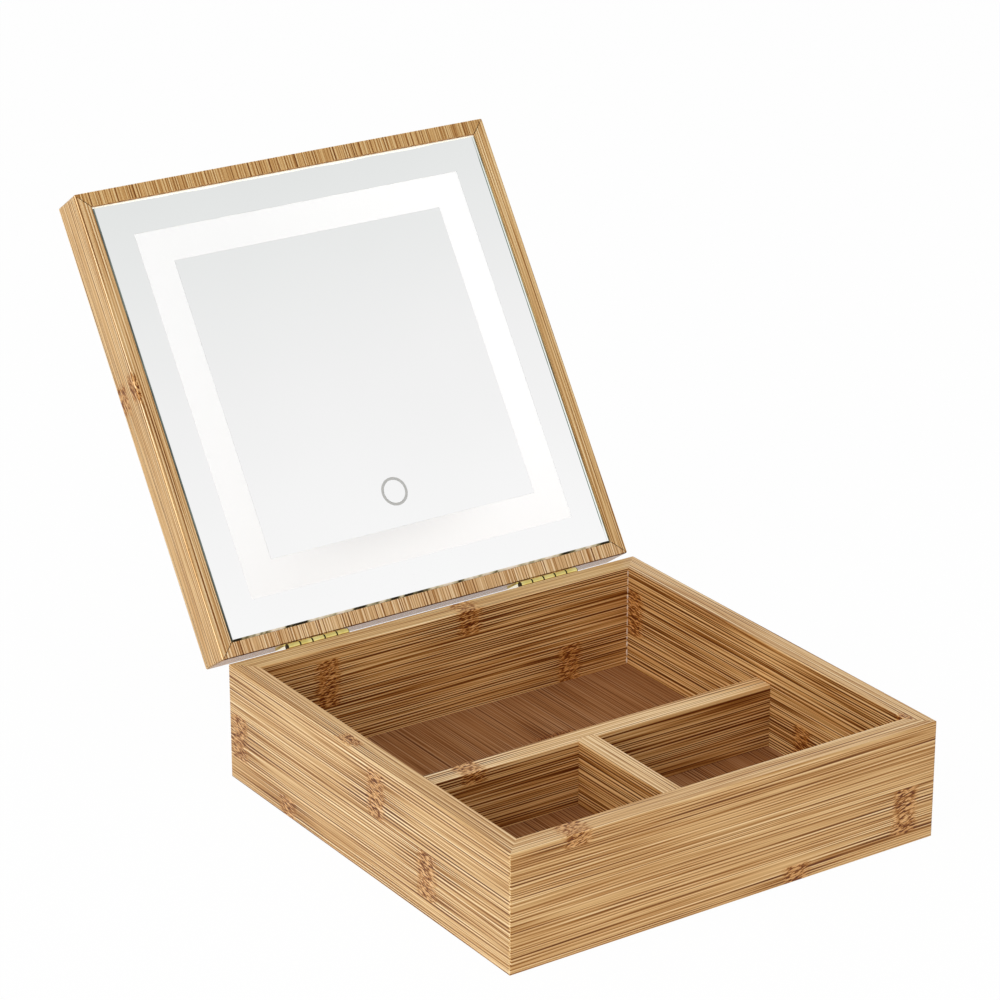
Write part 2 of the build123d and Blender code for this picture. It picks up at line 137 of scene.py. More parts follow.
class Facing(NamedTuple):
    """How a surface that faces one way departs from the rest of its board: its shade is multiplied
    by the contrast and its colour by the tint, which may go above 255 to make it paler."""

    direction: Vector
    contrast: float
    tint: tuple
    both_ways: bool = False  # the opposite direction counts too
    reach: float = 0.0  # where set, only nearer than this to the middle plane x = 0


class Tree:
    """A material's node tree with short names for the nodes that repeat."""

    def __init__(self, name):
        self.material = bpy.data.materials.new(name)
        self.material.use_nodes = True
        self.nodes = self.material.node_tree.nodes
        self.links = self.material.node_tree.links
        self.shader = self.nodes["Principled BSDF"]

    def put(self, socket, value):
        if isinstance(value, bpy.types.NodeSocket):
            self.links.new(value, socket)
        elif value is not None:
            socket.default_value = value

    def node(self, kind, *values, **settings):
        made = self.nodes.new(kind)
        for key, value in settings.items():
            setattr(made, key, value)
        for i, value in enumerate(values):
            self.put(made.inputs[i], value)
        return made

    def math(self, operation, *values, clamp=False):
        return self.node("ShaderNodeMath", *values, operation=operation, use_clamp=clamp).outputs[0]

    def vector(self, operation, *values):
        made = self.node("ShaderNodeVectorMath", *values, operation=operation)
        return made.outputs["Value" if operation in ("DOT_PRODUCT", "LENGTH") else "Vector"]

    def split(self, vector):
        return self.node("ShaderNodeSeparateXYZ", vector).outputs

    def join(self, *values):
        return self.node("ShaderNodeCombineXYZ", *values).outputs[0]

    def step(self, value, low, high, to_low=0.0, to_high=1.0):
        made = self.node("ShaderNodeMapRange", value, low, high, to_low, to_high)
        made.interpolation_type = "SMOOTHSTEP"
        return made.outputs[0]

    def noise(self, vector, detail=2.0, scale=1.0):
        made = self.node("ShaderNodeTexNoise")
        for key, value in (("Vector", vector), ("Scale", scale), ("Detail", detail)):
            self.put(made.inputs[key], value)
        return made.outputs["Fac"]

    def mix(self, factor, low, high, blend="MIX"):
        made = self.node("ShaderNodeMix", data_type="RGBA", blend_type=blend)
        self.put(made.inputs["Factor"], factor)
        sockets = {s.identifier: s for s in made.inputs}
        self.put(sockets["A_Color"], low)
        self.put(sockets["B_Color"], high)
        return next(s for s in made.outputs if s.identifier == "Result_Color")

    def ramp(self, factor, stops):
        made = self.node("ShaderNodeValToRGB", factor)
        elements = made.color_ramp.elements
        while len(elements) < len(stops):
            elements.new(0.5)
        for element, (position, colour) in zip(elements, stops):
            element.position, element.color = position, colour
        return made.outputs["Color"]

    def bump(self, height, distance, strength):
        made = self.node("ShaderNodeBump")
        made.inputs["Strength"].default_value = strength
        made.inputs["Distance"].default_value = distance
        self.put(made.inputs["Height"], height)
        return made.outputs["Normal"]

    def finish(self, **sockets):
        for name, value in sockets.items():
            self.put(self.shader.inputs[name.replace("_", " ")], value)
        return self.material


def paint(node, material):
    """The material of a CAD node or of a new piece."""
    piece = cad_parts[node] if isinstance(node, str) else node
    if not piece.material_slots:
        piece.data.materials.append(material)
    for slot in piece.material_slots:
        slot.material = material


def lid_axes():
    """Directions of the open lid: away from the glass, and from the hinges to the front edge."""
    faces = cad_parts["lid_outer_panel"].data.polygons
    back = max(faces, key=lambda face: face.area).normal.copy()
    if back.y < 0:
        back.negate()
    return back.normalized(), X.cross(back).normalized()


LID_BACK, LID_UP = lid_axes()


def lid_point(x, up, level):
    return X * x + LID_UP * up + LID_BACK * level


def grain_space(tree, origin, along, across):
    """Millimetres along the grain, across it, and into the board, from a corner of the board."""
    coordinates = tree.node("ShaderNodeTexCoord").outputs
    depth = along.cross(across)
    turn = Matrix((along, across, depth))
    mapping = tree.node("ShaderNodeMapping", coordinates["Object"])
    mapping.inputs["Location"].default_value = -(turn @ origin) / MM
    mapping.inputs["Rotation"].default_value = turn.to_euler("XYZ")
    mapping.inputs["Scale"].default_value = (1 / MM,) * 3
    return mapping.outputs[0], coordinates["Normal"]


def knot_mask(tree, place, knots):
    """1 inside the listed knots, and a second value that fades out further along the grain.
    Each knot is a centre and half sizes along the grain, across it and into the board."""
    wobble = tree.noise(tree.vector("MULTIPLY", place, (0.3, 0.8, 0.8)), detail=2.0)
    wobble = tree.math("MULTIPLY_ADD", wobble, 5.0, -2.5)
    place = tree.vector("ADD", place, tree.join(wobble, 0.0, 0.0))
    masks = []
    for centre, half in knots:
        gap = tree.vector("SUBTRACT", place, centre)
        gap = tree.vector("DIVIDE", tree.vector("ABSOLUTE", gap), half)
        u, v, w = tree.split(gap)
        band = tree.math("MULTIPLY", tree.step(v, 0.9, 1.02, 1.0, 0.0), tree.step(w, 0.9, 1.02, 1.0, 0.0))
        near = tree.math("MULTIPLY", tree.step(u, 0.4, 1.2, 1.0, 0.0), band)
        far = tree.math("MULTIPLY", tree.step(u, 0.6, 4.5, 1.0, 0.0), band)
        masks.append((near, far))
    knot, halo = masks[0]
    for near, far in masks[1:]:
        knot, halo = tree.math("MAXIMUM", knot, near), tree.math("MAXIMUM", halo, far)
    return knot, halo


def end_grain(tree, shade, place, within, seam, normal, along):
    """Where the fibres are cut across they show as dots, closer together towards one side of each strip."""
    cut = tree.math("ABSOLUTE", tree.vector("DOT_PRODUCT", normal, tuple(along)))
    cut = tree.step(cut, *FACING)
    dots = tree.noise(tree.vector("MULTIPLY", place, (0.5, 1.9, 1.9)), detail=1.0)
    dots = tree.math("MULTIPLY_ADD", within, 0.12, dots)
    ends = tree.math("MULTIPLY_ADD", tree.step(dots, 0.48, 0.60), -0.34, 0.06)
    ends = tree.math("MULTIPLY_ADD", within, -0.14, ends)
    ends = tree.math("MULTIPLY_ADD", seam, -0.16, ends)
    difference = tree.math("SUBTRACT", ends, shade)
    return tree.math("MULTIPLY_ADD", difference, cut, shade)


def bamboo(
    name, origin, along, across, seed, knots=(), facings=(), seams=0.15, roughness=0.44, ends=False,
):
    """Laminated bamboo: fibres and strips along the grain, and knots where listed."""
    tree = Tree(name)
    place, normal = grain_space(tree, origin, along, across)
    moved = tree.vector("ADD", place, (seed * 37.0, seed * 11.3, seed * 5.9))

    drift = tree.noise(tree.vector("MULTIPLY", moved, (0.006, 0.03, 0.03)), detail=1.0)
    drift = tree.math("MULTIPLY_ADD", drift, 1.2, -0.6)
    if knots:
        knot, halo = knot_mask(tree, place, knots)
        swirl = tree.noise(tree.vector("MULTIPLY", moved, (0.3, 0.45, 0.45)), detail=2.0)
        swirl = tree.math("MULTIPLY", tree.math("SUBTRACT", swirl, 0.5), knot)
        drift = tree.math("MULTIPLY_ADD", swirl, 2.0, drift)
    bent = tree.vector("ADD", moved, tree.join(0.0, drift, 0.0))

    def fibres(length, pitch):
        return tree.noise(tree.vector("MULTIPLY", bent, (1 / length, 1 / pitch, 1 / pitch)), detail=1.0)

    _, bent_v, bent_w = tree.split(bent)
    height = tree.math("MULTIPLY_ADD", bent_w, 0.9, bent_v)

    def bundles(period, wander, pitch, fade):
        """Dark and light lines about a period apart, which come and go along the grain."""
        phase = tree.math("DIVIDE", height, period)
        phase = tree.math("MULTIPLY_ADD", fibres(300.0, pitch), wander, phase)
        wave = tree.math("SINE", tree.math("MULTIPLY", phase, 2 * math.pi))
        line = tree.step(wave, -0.9, 0.9, -0.5, 0.5)
        return tree.math("MULTIPLY", line, tree.step(fibres(fade, 1.6 * period), 0.35, 0.65, 0.45, 1.55))

    lines = [
        (bundles(1.12, 3.0, 6.0, 80.0), 0.37),
        (bundles(1.83, 2.2, 7.0, 60.0), 0.17),
        (bundles(2.90, 1.4, 8.0, 90.0), 0.09),
        (tree.step(fibres(60.0, 0.40), 0.36, 0.64, -0.5, 0.5), 0.40),
        (tree.step(fibres(170.0, 1.1), 0.63, 0.70), -0.18),
    ]
    broad = fibres(75.0, 9.0)

    strip = tree.vector("MULTIPLY", place, (0.0, 1 / STRIP_WIDTH, 1 / STRIP_THICKNESS))
    strip = tree.vector("ADD", strip, (0.5, 0.49 + 0.13 * seed, 0.02))
    cell = tree.vector("FLOOR", strip)
    tone = tree.node("ShaderNodeTexWhiteNoise", cell, noise_dimensions="3D").outputs["Value"]
    within = tree.vector("SUBTRACT", tree.vector("SUBTRACT", strip, cell), (0.5, 0.5, 0.5))
    _, edge_v, edge_w = tree.split(tree.vector("ABSOLUTE", within))
    seam = tree.math("MAXIMUM", tree.step(edge_v, 0.488, 0.498), tree.step(edge_w, 0.465, 0.495))

    shade = BASE_SHADE
    for line, amount in lines:
        shade = tree.math("MULTIPLY_ADD", line, amount, shade)
    for pattern, amount in ((broad, 0.20), (tone, 0.08)):
        shade = tree.math("MULTIPLY_ADD", pattern, amount, tree.math("SUBTRACT", shade, amount / 2))
    shade = tree.math("MULTIPLY_ADD", seam, -seams, shade)
    if ends:
        shade = end_grain(tree, shade, moved, tree.split(within)[2], seam, normal, along)

    tints = []
    for facing in facings:
        toward = tree.vector("DOT_PRODUCT", normal, tuple(facing.direction))
        if facing.both_ways:
            toward = tree.math("ABSOLUTE", toward)
        toward = tree.step(toward, *FACING)
        if facing.reach:
            x, _, _ = tree.split(tree.node("ShaderNodeTexCoord").outputs["Object"])
            near = tree.math("LESS_THAN", tree.math("ABSOLUTE", x), facing.reach)
            toward = tree.math("MULTIPLY", toward, near)
        contrast = tree.math("MULTIPLY_ADD", toward, facing.contrast - 1.0, 1.0)
        shade = tree.math("MULTIPLY", shade, contrast)
        tints.append((toward, facing.tint))
    if knots:
        along_u, along_v, along_w = tree.split(moved)
        slanted = tree.join(along_u, tree.math("MULTIPLY_ADD", along_u, -0.2, along_v), along_w)
        dashes = tree.noise(tree.vector("MULTIPLY", slanted, (0.38, 1.9, 1.9)), detail=2.0)
        dashes = tree.math("MULTIPLY", tree.step(dashes, 0.40, 0.60, -0.44, 0.26), knot)
        beside = tree.math("SUBTRACT", tree.math("MULTIPLY", halo, 0.5), knot)
        shade = tree.math("MULTIPLY", shade, tree.math("ADD", beside, 1.0))
        shade = tree.math("ADD", shade, tree.math("MULTIPLY_ADD", halo, -0.05, dashes))
        tints.append((knot, KNOT_TINT))

    level = tree.math("ADD", shade, MIDDLE_LEVEL, clamp=True)
    colour = tree.ramp(level, [(stop, srgb(*shades)) for stop, shades in BAMBOO_COLOURS])
    for toward, tint in tints:
        colour = tree.mix(toward, colour, tree.mix(1.0, colour, srgb(*tint), blend="MULTIPLY"))
    roughness = tree.math("MULTIPLY_ADD", level, -0.12, roughness)
    relief = tree.bump(tree.math("ADD", shade, 0.5), FIBRE_RELIEF, 0.5)
    return tree.finish(Base_Color=colour, Roughness=roughness, Normal=relief, Specular_IOR_Level=0.2)


def corner(node, pick):
    """A corner of a node's box: pick holds 0 for the lowest and 1 for the highest of x, y and z."""
    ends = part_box(node)
    return Vector([ends[i][axis] for axis, i in enumerate(pick)])


def knot(along, across, half_height=10.0, depth=0, half_depth=30, half_length=6.6):
    """Centre and half sizes of a knot in mm, as knot_mask takes them."""
    return (along, across, depth), (half_length, half_height, half_depth)


def box_bamboo():
    """The boards of the box. Knots are placed in mm along and across the board from its corner."""
    rim = Facing(Z, 1.0, (238, 230, 220))
    back_rim = Facing(Z, 1.0, (228, 220, 204))
    divider_top = Facing(Z, 1.0, (248, 244, 240))
    front = Facing(-Y, 0.88, (250, 242, 230))
    # Upper face of the bottom board, inside the box: tinted darker, painted shade
    floor = Facing(Z, 1.0, (172, 143, 128))

    # Inner faces: tinted darker as painted shade of the box's inside, with stronger contrast of the fibres
    def shaded_inside(direction, both_ways=False):
        return Facing(direction, 1.8, (240, 220, 190), both_ways)

    boards = {
        "left_wall": (
            Y, Z,
            [knot(192, 20), knot(155.5, 4, 4.5), knot(90, 36.5), knot(55, 17), knot(113, 49.5, 3, 3, 3)],
            (rim, shaded_inside(X)),
        ),
        "front_wall": (
            X, Z, [knot(185, 15), knot(132, 2.5, 4.8), knot(30, 48.5, 4.2)], (rim, front, shaded_inside(Y)),
        ),
        "right_wall": (
            Y, Z, [knot(185, 30, 10.5), knot(70, 12), knot(10, 48.5, 3, 1.5, 2.0, 3.6)], (rim, shaded_inside(-X)),
        ),
        "back_wall": (
            X, Z, [knot(109.5, 45, 6.5), knot(40.5, 34, 11), knot(160, 12)], (back_rim, shaded_inside(-Y)),
        ),
        "bottom_board": (Y, X, [knot(60, 40), knot(140, 120), knot(30, 160)], (floor,)),
        "long_divider": (X, Z, [knot(39, 27.5, 5)], (divider_top, shaded_inside(Y, True))),
        "short_divider": (Y, Z, [], (divider_top, shaded_inside(X, True))),
    }
    for number, (node, (along, across, knots, facings)) in enumerate(boards.items()):
        origin = corner(node, (0, 0, 0))
        paint(node, bamboo(f"bamboo_{node}", origin, along, across, 1.0 + number, knots, facings))


def lid_bamboo():
    """The lid's boards. The mirror side of its frame is tinted darker than its edges, painted shade."""
    points = [vertex.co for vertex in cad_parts["lid_left_strip"].data.vertices]
    hinge_end = lid_point(*[min(p.dot(axis) for p in points) for axis in (X, LID_UP, LID_BACK)])
    # Tints of each strip's mirror-side face: painted shade
    shaded_face_tints = {
        "left": (234, 227, 219), "right": (241, 236, 226),
        "front": (225, 213, 192), "back": (242, 238, 239),
    }
    edge = Facing(X, 1.1, (247, 241, 230), both_ways=True)
    cut_ends = Facing(LID_UP, 1.0, (244, 234, 222), both_ways=True)
    # Painted shade: a dark line along the lower rear edge of each strip
    lower_arris_shade = Facing((-LID_BACK - LID_UP).normalized(), 1.0, (120, 90, 70))
    # Painted highlight: a pale line along the front left rounded edge, by a tint above 255
    left_arris_highlight = Facing((-LID_BACK - X).normalized(), 0.8, (306, 316, 330))
    # Painted shade in the mitre gaps at the frame's corners: the mitre faces are tinted dark
    mitre_reach = cad_box[1].x - 2 * CORNER_ROUND
    mitre_gap_shades = [
        Facing((X * i + LID_UP).normalized(), 1.0, (58, 40, 28), both_ways=True, reach=mitre_reach)
        for i in (-1, 1)
    ]
    for number, (side, tint) in enumerate(shaded_face_tints.items()):
        face = Facing(-LID_BACK, 1.0, tint)
        knots = [knot(114.5, 13, 4), knot(116, 0, 5, 2, 4)] if side == "left" else []
        material = bamboo(
            f"bamboo_lid_{side}_strip", hinge_end, LID_UP, LID_BACK, 8.0 + number, knots,
            (face, edge, cut_ends, lower_arris_shade, left_arris_highlight, *mitre_gap_shades),
            seams=0.02, roughness=0.34 if side == "back" else 0.44, ends=True,
        )
        paint(f"lid_{side}_strip", material)
    knots = [knot(60, 50, half_depth=60), knot(150, 90, half_depth=60), knot(90, 150, half_depth=60)]
    paint("lid_outer_panel", bamboo("bamboo_lid_outer_panel", hinge_end, LID_UP, X, 13.0, knots))


def knuckle_joints():
    """A point on the axis of the hinge pins, the radius of the barrel, and the place of its first
    end and the pitch of its knuckles along |x|."""
    pin_low, pin_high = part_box("hinge_pin_right")
    axis = (pin_low + pin_high) / 2
    leaf = [v.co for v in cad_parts["box_hinge_leaf_right"].data.vertices]
    radius = max(p.z for p in leaf) - axis.z
    return axis, radius, pin_low.x, (pin_high.x - pin_low.x) / KNUCKLES


def brass():
    """Polished brass, with a dark line of painted shade where one knuckle of the hinge meets the next."""
    tree = Tree("polished_brass")
    place = tree.node("ShaderNodeTexCoord").outputs["Object"]
    cloud = tree.noise(place, detail=2.0, scale=160.0)
    axis, radius, first, pitch = knuckle_joints()
    x, y, z = tree.split(place)
    turns = tree.math("DIVIDE", tree.math("SUBTRACT", tree.math("ABSOLUTE", x), first), pitch)
    gap = tree.math("SUBTRACT", turns, tree.math("ROUND", turns))
    gap = tree.math("MULTIPLY", tree.math("ABSOLUTE", gap), pitch)
    outwards = tree.join(0.0, tree.math("SUBTRACT", y, axis.y), tree.math("SUBTRACT", z, axis.z))
    barrel = tree.math("LESS_THAN", tree.vector("LENGTH", outwards), radius * 1.1)
    # Painted shade of the gap between two knuckles
    knuckle_gap_shade = tree.math("MULTIPLY", barrel, tree.step(gap, JOINT_LINE, 1.4 * JOINT_LINE, 1.0, 0.0))
    colour = tree.ramp(cloud, ((0.3, srgb(212, 188, 102)), (0.7, srgb(240, 224, 152))))
    roughness = tree.step(cloud, 0.3, 0.7, 0.12, 0.24)
    colour = tree.mix(knuckle_gap_shade, colour, srgb(70, 56, 24))
    return tree.finish(Base_Color=colour, Metallic=1.0, Roughness=roughness)


def mirror():
    """Silvered face with a narrow pale bevel and a grey-green line at its right edge. The ground
    edge of the glass glows a little, painted light that lifts its shade. It is nearly white,
    greenish at the right, and painted shade darkens it at the left and in short patches along the
    front and the back, while the front is lifted a little. An uneven bright chamfer, a painted
    highlight, runs along the front edge and thins out towards its ends."""
    tree = Tree("silvered_mirror")
    coordinates = tree.node("ShaderNodeTexCoord").outputs
    place = coordinates["Object"]
    smear = tree.noise(place, detail=2.0, scale=12.0)
    silver = tree.ramp(smear, ((0.3, srgb(246, 246, 246)), (0.7, srgb(248, 248, 248))))
    upwards = tree.vector("DOT_PRODUCT", coordinates["Normal"], tuple(LID_UP))
    patches = tree.noise(tree.vector("MULTIPLY", place, (1.0, 0.3, 0.3)), detail=2.0, scale=150.0)
    # Edges that face the lid's front get a lighter share: painted highlight
    patches = tree.math("ADD", patches, tree.step(upwards, -0.1, 0.1, 0.0, 0.11))
    # Edge colours: the dark parts at the left and in short patches are painted shade of the gap to the
    # frame; the green at the right is the glass's own
    ends = tree.ramp(patches, (
        (0.40, srgb(38, 36, 26)), (0.44, srgb(122, 118, 86)),
        (0.51, srgb(210, 206, 178)), (0.61, srgb(240, 238, 226)),
    ))
    left = tree.ramp(patches, ((0.40, srgb(24, 26, 22)), (0.62, srgb(104, 114, 108))))
    right = tree.ramp(patches, ((0.42, srgb(84, 96, 78)), (0.60, srgb(196, 206, 188))))
    along_x, _, _ = tree.split(coordinates["Normal"])
    edge = tree.mix(tree.step(along_x, -0.5, -0.3, 1.0, 0.0), ends, left)
    edge = tree.mix(tree.step(along_x, 0.3, 0.5), edge, right)

    front_line = max(p.dot(LID_UP) for p in glass_face_points())
    up = tree.vector("DOT_PRODUCT", place, tuple(LID_UP))
    x, _, _ = tree.split(place)
    width = tree.noise(tree.vector("MULTIPLY", place, (1.0, 0.0, 0.0)), detail=0.0, scale=60.0)
    width = tree.step(width, 0.3, 0.7, 0.3 * MM, 0.7 * MM)
    width = tree.math("MULTIPLY", width, tree.step(tree.math("ABSOLUTE", x), 60 * MM, 92 * MM, 1.0, 0.2))
    # Painted highlight: a near-white strip along the front edge
    chamfer_highlight = tree.math("GREATER_THAN", up, tree.math("SUBTRACT", front_line, width))
    edge = tree.mix(chamfer_highlight, edge, srgb(254, 254, 240))

    facing = tree.step(tree.vector("DOT_PRODUCT", coordinates["Normal"], tuple(-LID_BACK)), 0.85, 0.95)
    facing = tree.math("MULTIPLY", facing, tree.math("SUBTRACT", 1.0, chamfer_highlight))
    ground = tree.math("SUBTRACT", 1.0, facing)
    right_end = max(p.x for p in glass_face_points())
    inset = tree.math("DIVIDE", tree.math("SUBTRACT", right_end, x), MM)
    bevel = tree.math("MULTIPLY", facing, tree.step(inset, 0.5, 0.55, 1.0, 0.0))
    line = tree.math("MULTIPLY", tree.step(inset, 0.5, 0.55), tree.step(inset, 0.95, 1.0, 1.0, 0.0))
    line = tree.math("MULTIPLY", facing, line)
    line = tree.math("MULTIPLY", line, tree.step(patches, 0.42, 0.55, 0.2, 1.0))
    colour = tree.mix(bevel, tree.mix(facing, edge, silver), srgb(252, 254, 252))
    # The ground edges glow with their own colour: painted light that lifts their shade
    return tree.finish(
        Base_Color=tree.mix(line, colour, srgb(120, 138, 124)), Metallic=facing,
        Roughness=tree.math("MULTIPLY_ADD", ground, 0.4, tree.step(smear, 0.3, 0.7, 0.012, 0.03)),
        Emission_Color=tree.mix(ground, srgb(0, 0, 0), edge), Emission_Strength=GLASS_GLOW,
    )


def frost(tree, place):
    """Fine grain of etched glass, and the relief that it gives."""
    grain = tree.noise(place, detail=4.0, scale=2500.0)
    return grain, tree.bump(grain, FROST_RELIEF, 0.3)


def frosted_light():
    """Lit band. It is warmer and a little dimmer at the left, most of all along the inner edge
    of its rear run."""
    tree = Tree("lit_frosted_glass")
    place = tree.node("ShaderNodeTexCoord").outputs["Object"]
    grain, relief = frost(tree, place)
    (_, ups), _, _ = etched_outlines()
    rear_inner = ups[1] + 4 * MM  # just inside the rear run
    x, _, _ = tree.split(place)
    up = tree.vector("DOT_PRODUCT", place, tuple(LID_UP))
    level = tree.step(x, -70 * MM, 75 * MM, 0.66, 1.0)
    level = tree.math("SUBTRACT", level, tree.step(up, ups[0], ups[-1], 0.0, 0.18))
    middle = tree.step(tree.math("ABSOLUTE", tree.math("ADD", x, 8 * MM)), 5 * MM, 65 * MM, 1.0, 0.0)
    inner = tree.math("MULTIPLY", middle, tree.step(up, ups[0], rear_inner))
    inner = tree.math("MULTIPLY", inner, tree.step(up, rear_inner, ups[1] + 12 * MM, 1.0, 0.0))
    level = tree.math("MULTIPLY_ADD", inner, -0.45, level)
    level = tree.math("MULTIPLY_ADD", grain, 0.04, level)
    glow = tree.ramp(level, (
        (0.0, (0.00, 0.00, 0.00, 1.0)), (0.7, (0.70, 0.69, 0.67, 1.0)), (1.0, (1.00, 1.00, 0.99, 1.0)),
    ))
    return tree.finish(
        Base_Color=srgb(240, 240, 240), Roughness=0.6, Normal=relief,
        Emission_Color=glow, Emission_Strength=GLASS_GLOW,
    )


def frosted_ring():
    """Touch ring, which isn't lit."""
    tree = Tree("frosted_glass")
    grain, relief = frost(tree, tree.node("ShaderNodeTexCoord").outputs["Object"])
    colour = tree.ramp(grain, ((0.3, srgb(186, 187, 185)), (0.7, srgb(200, 200, 197))))
    return tree.finish(Base_Color=colour, Roughness=0.55, Normal=relief)


def moulded(name, colour, roughness):
    """Plastic, foam or board: a little colour variation and a fine texture."""
    tree = Tree(name)
    place = tree.node("ShaderNodeTexCoord").outputs["Object"]
    cloud = tree.noise(place, detail=3.0, scale=1400.0)
    darker = srgb(*[c * 0.93 for c in colour])
    shades = tree.ramp(cloud, ((0.3, darker), (0.7, srgb(*colour))))
    return tree.finish(
        Base_Color=shades, Roughness=tree.step(cloud, 0.3, 0.7, roughness, roughness + 0.1),
        Normal=tree.bump(cloud, 0.00003, 0.4),
    )


def metal(name, colour, roughness):
    """Plain metal: a little variation in colour and polish."""
    tree = Tree(name)
    place = tree.node("ShaderNodeTexCoord").outputs["Object"]
    cloud = tree.noise(place, detail=3.0, scale=1200.0)
    darker = srgb(*[c * 0.9 for c in colour])
    shades = tree.ramp(cloud, ((0.3, darker), (0.7, srgb(*colour))))
    return tree.finish(
        Base_Color=shades, Metallic=1.0, Roughness=tree.step(cloud, 0.3, 0.7, roughness, roughness + 0.12)
    )


def fittings():
    """Materials of all that isn't bamboo."""
    brass_finish = brass()
    for side in ("left", "right"):
        for node in ("box_hinge_leaf", "lid_hinge_leaf"):
            paint(f"{node}_{side}", brass_finish)
        paint(f"hinge_pin_{side}", metal("dark_steel", (70, 60, 44), 0.35))
    screws = metal("brass_screws", (186, 158, 92), 0.35)
    for node in ("box_hinge_screws", "lid_hinge_screws"):
        paint(node, screws)
    paint("mirror_glass", mirror())
    paint("glass_tape", moulded("foam_tape", (60, 60, 62), 0.85))
    paint("light_diffuser", moulded("opal_acrylic", (242, 242, 238), 0.35))
    paint("light_tray", moulded("white_plastic", (236, 236, 232), 0.45))
    paint("lamp_boards", moulded("white_circuit_board", (228, 230, 226), 0.4))
    paint("lamp_chips", moulded("lamp_chip", (245, 226, 150), 0.4))
    paint("battery", metal("battery_foil", (196, 200, 206), 0.3))
    paint("battery_tape", moulded("foam_tape_thin", (66, 66, 68), 0.85))
    board = moulded("circuit_board", (34, 92, 58), 0.35)
    for node in ("control_board", "touch_board", "charging_board"):
        paint(node, board)
    black = moulded("black_plastic", (32, 32, 34), 0.4)
    for node in ("control_components", "charging_tongue"):
        paint(node, black)
    steel = metal("steel", (190, 192, 196), 0.25)
    for node in ("charging_socket", "tray_screws", "board_screws"):
        paint(node, steel)
    lead = moulded("lead_insulation", (210, 60, 52), 0.5)
    for node in ("battery_lead", "lamp_lead", "lamp_jumpers", "charging_lead", "touch_lead"):
        paint(node, lead)


def glass_face_points():
    """Points of the glass on the mirror's face, and so not in its etched recesses."""
    points = [vertex.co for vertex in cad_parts["mirror_glass"].data.vertices]
    face = min(p.dot(LID_BACK) for p in points)
    return [p for p in points if p.dot(LID_BACK) < face + FACE_DEPTH * MM]


def etched_outlines():
    """Corners of the etched band, and centre and radii of the touch ring, from the glass itself.
    Places are (x, distance along the lid); the last value is the level of the mirror's face."""
    points = [vertex.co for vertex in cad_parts["mirror_glass"].data.vertices]
    face = min(p.dot(LID_BACK) for p in points)
    etched = [
        (p.x, p.dot(LID_UP)) for p in points
        if FACE_DEPTH * MM < p.dot(LID_BACK) - face < ETCHED_DEPTH * MM
    ]
    band = [p for p in etched if abs(p[0]) > RING_REACH * MM]
    ring = [p for p in etched if abs(p[0]) <= RING_REACH * MM]
    xs = sorted({round(p[0], 5) for p in band})
    ys = sorted({round(p[1], 5) for p in band})
    centre = ((min(p[0] for p in ring) + max(p[0] for p in ring)) / 2,
              (min(p[1] for p in ring) + max(p[1] for p in ring)) / 2)
    radii = [math.dist(p, centre) for p in ring]
    return (xs, ys), (centre, min(radii), max(radii)), face


def new_piece(name, vertices, faces, material, body):
    """A piece of the scene's own, which rides on a body of the part."""
    mesh = bpy.data.meshes.new(name)
    mesh.from_pydata([tuple(v) for v in vertices], [], faces)
    mesh.update()
    piece = bpy.data.objects.new(name, mesh)
    bpy.context.scene.collection.objects.link(piece)
    paint(piece, material)
    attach(piece, body)
    return piece


def closed_ring(outer, inner):
    """Flat ring that fills an etched recess. Its outlines are loops of (x, distance along the lid)."""
    _, _, face = etched_outlines()
    top, bottom = face + INLAY_TOP * MM, face + INLAY_BOTTOM * MM
    loops = [
        [lid_point(*p, top) for p in outer], [lid_point(*p, top) for p in inner],
        [lid_point(*p, bottom) for p in inner], [lid_point(*p, bottom) for p in outer],
    ]
    count = len(outer)
    vertices = [p for loop in loops for p in loop]
    faces = []
    for k in range(4):
        a, b = k * count, (k + 1) % 4 * count
        for i in range(count):
            j = (i + 1) % count
            faces.append((a + i, a + j, b + j, b + i))
    return vertices, faces


def light_band():
    (xs, ys), _, _ = etched_outlines()
    trim = INLAY_GAP * MM

    def rectangle(low_x, low_y, high_x, high_y):
        return [(low_x, low_y), (high_x, low_y), (high_x, high_y), (low_x, high_y)]

    outer = rectangle(xs[0] + trim, ys[0] + trim, xs[-1] - trim, ys[-1] - trim)
    inner = rectangle(xs[1] - trim, ys[1] - trim, xs[-2] + trim, ys[-2] + trim)
    band = new_piece("light_band", *closed_ring(outer, inner), frosted_light(), "lid")


def touch_ring():
    _, (centre, small, large), _ = etched_outlines()
    trim = INLAY_GAP * MM
    turns = [2 * math.pi * i / RING_SIDES for i in range(RING_SIDES)]
    outer, inner = [
        [(centre[0] + r * math.cos(t), centre[1] + r * math.sin(t)) for t in turns]
        for r in (large - trim, small + trim)
    ]
    ring = new_piece("touch_ring", *closed_ring(outer, inner), frosted_ring(), "lid")


def glue_run(chance, corner_line, section, low, high):
    """Dried glue up a corner of the box: drops one above the other, with small gaps between."""
    vertices, faces = [], []
    count = len(section)
    while low < high:
        length = min(chance.uniform(*GLUE_LENGTHS) * MM, high - low + 0.2 * MM)
        width = chance.uniform(*GLUE_WIDTHS)
        first = len(vertices)
        for i in range(GLUE_RINGS + 1):
            swell = width * (0.3 + 0.7 * math.sin(math.pi * i / GLUE_RINGS))
            level = low + length * i / GLUE_RINGS
            vertices += [corner_line + offset * swell + Z * level for offset in section]
        for i in range(GLUE_RINGS):
            a = first + i * count
            for j in range(count):
                k = (j + 1) % count
                faces.append((a + j, a + k, a + count + k, a + count + j))
        faces.append(tuple(range(first + count - 1, first - 1, -1)))
        faces.append(tuple(range(len(vertices) - count, len(vertices))))
        low += length * GLUE_SPACING
    return vertices, faces


